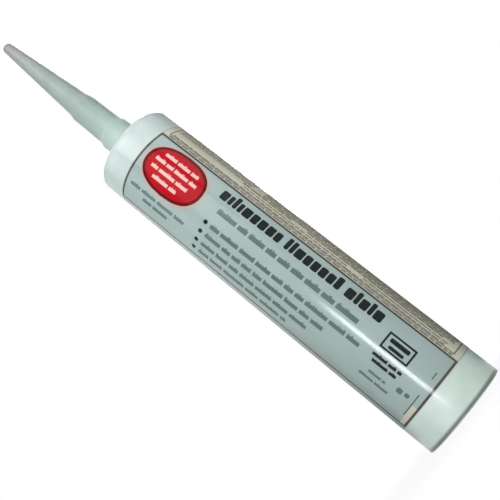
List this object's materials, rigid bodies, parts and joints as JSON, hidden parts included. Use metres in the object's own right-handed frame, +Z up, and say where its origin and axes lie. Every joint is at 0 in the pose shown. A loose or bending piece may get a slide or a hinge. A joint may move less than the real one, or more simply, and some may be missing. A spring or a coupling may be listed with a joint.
{
  "type": "caulk tube",
  "caption": "Sealant cartridge standing on its open rear rim: moulded barrel with wrap label, sliding plunger, foil-sealed neck and long tapered screw-on nozzle.",
  "frame": {"origin": "centre of the open rear rim, on the surface that the tube stands on", "axes": "+Z up along the tube's axis to the nozzle tip, -Y towards the label's main panel, +X to the side panel"},
  "size_m": [0.0503, 0.0504, 0.3238],
  "materials": {
    "barrel_polyethylene": "moulded white high-density polyethylene, slightly waxy",
    "foil": "thin rolled foil, satin",
    "nozzle_polyethylene": "moulded natural low-density polyethylene, milky and translucent",
    "plunger_polyethylene": "moulded natural polyethylene, satin",
    "sealant": "wet paste",
    "label_film": "printed film, soft gloss",
    "ink_cream": "printed ink under soft gloss",
    "ink_red": "printed ink under soft gloss",
    "ink_black": "printed ink under soft gloss",
    "ink_grey": "printed ink under soft gloss"
  },
  "bodies": {
    "cartridge": {"barrel": "barrel_polyethylene", "foil_seal": "foil", "sealant_fill": "sealant", "label": "label_film", "print_cream": "ink_cream", "print_red": "ink_red", "print_black": "ink_black", "print_grey": "ink_grey"},
    "piston": {"plunger": "plunger_polyethylene"},
    "spout": {"nozzle": "nozzle_polyethylene"}
  },
  "joints": [
    {"name": "plunger_slide", "type": "slide", "parent": "cartridge", "child": "piston", "axis": [0, 0, 1], "range_m": [0, 0.1685], "deforming": ["sealant_fill"]},
    {"name": "nozzle_lift", "type": "slide", "parent": "cartridge", "child": "spout", "axis": [0, 0, 1], "range_m": [0, 0.03]}
  ]
}
